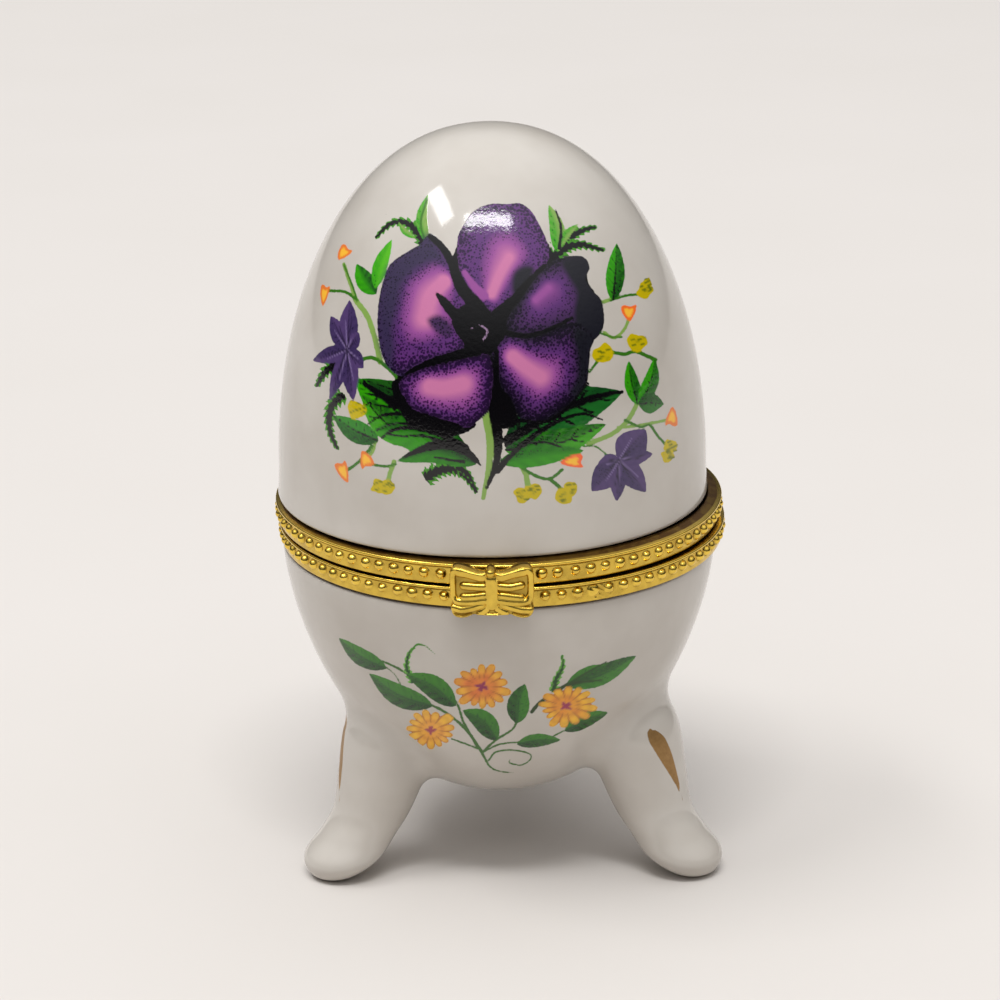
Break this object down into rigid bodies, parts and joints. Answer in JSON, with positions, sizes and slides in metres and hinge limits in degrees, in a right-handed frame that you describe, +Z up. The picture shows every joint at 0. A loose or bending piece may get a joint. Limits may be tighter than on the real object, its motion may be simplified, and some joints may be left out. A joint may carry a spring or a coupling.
{
  "type": "footed porcelain egg trinket box",
  "caption": "Egg-shaped porcelain trinket box on cast legs, with beaded gilt bezels, a hinged lid and a bow clasp.",
  "frame": {"origin": "on the surface the feet stand on, under the middle of the egg", "axes": "+Z up along the egg's axis, front with the bow clasp towards -Y, hinge at +Y"},
  "size_m": [0.0598, 0.0636, 0.0988],
  "materials": {
    "porcelain": "glossy white glaze with fired-on floral transfers and gilt touches",
    "gilt": "bright gold plate on stamped metal",
    "brass": "gold-plated hinge, slightly dull"
  },
  "bodies": {
    "base": {"bowl_and_legs": "porcelain", "base_bezel": "gilt", "base_hinge_leaf": "brass", "hinge_pin": "brass"},
    "lid": {"lid_shell": "porcelain", "lid_bezel": "gilt", "bow_clasp": "gilt", "lid_hinge_leaf": "brass"}
  },
  "joints": [
    {"name": "lid_hinge", "type": "hinge", "parent": "base", "child": "lid", "pos_m": [0, 0.03105, 0.04645], "axis": [-1, 0, 0], "range_deg": [0, 90]}
  ]
}
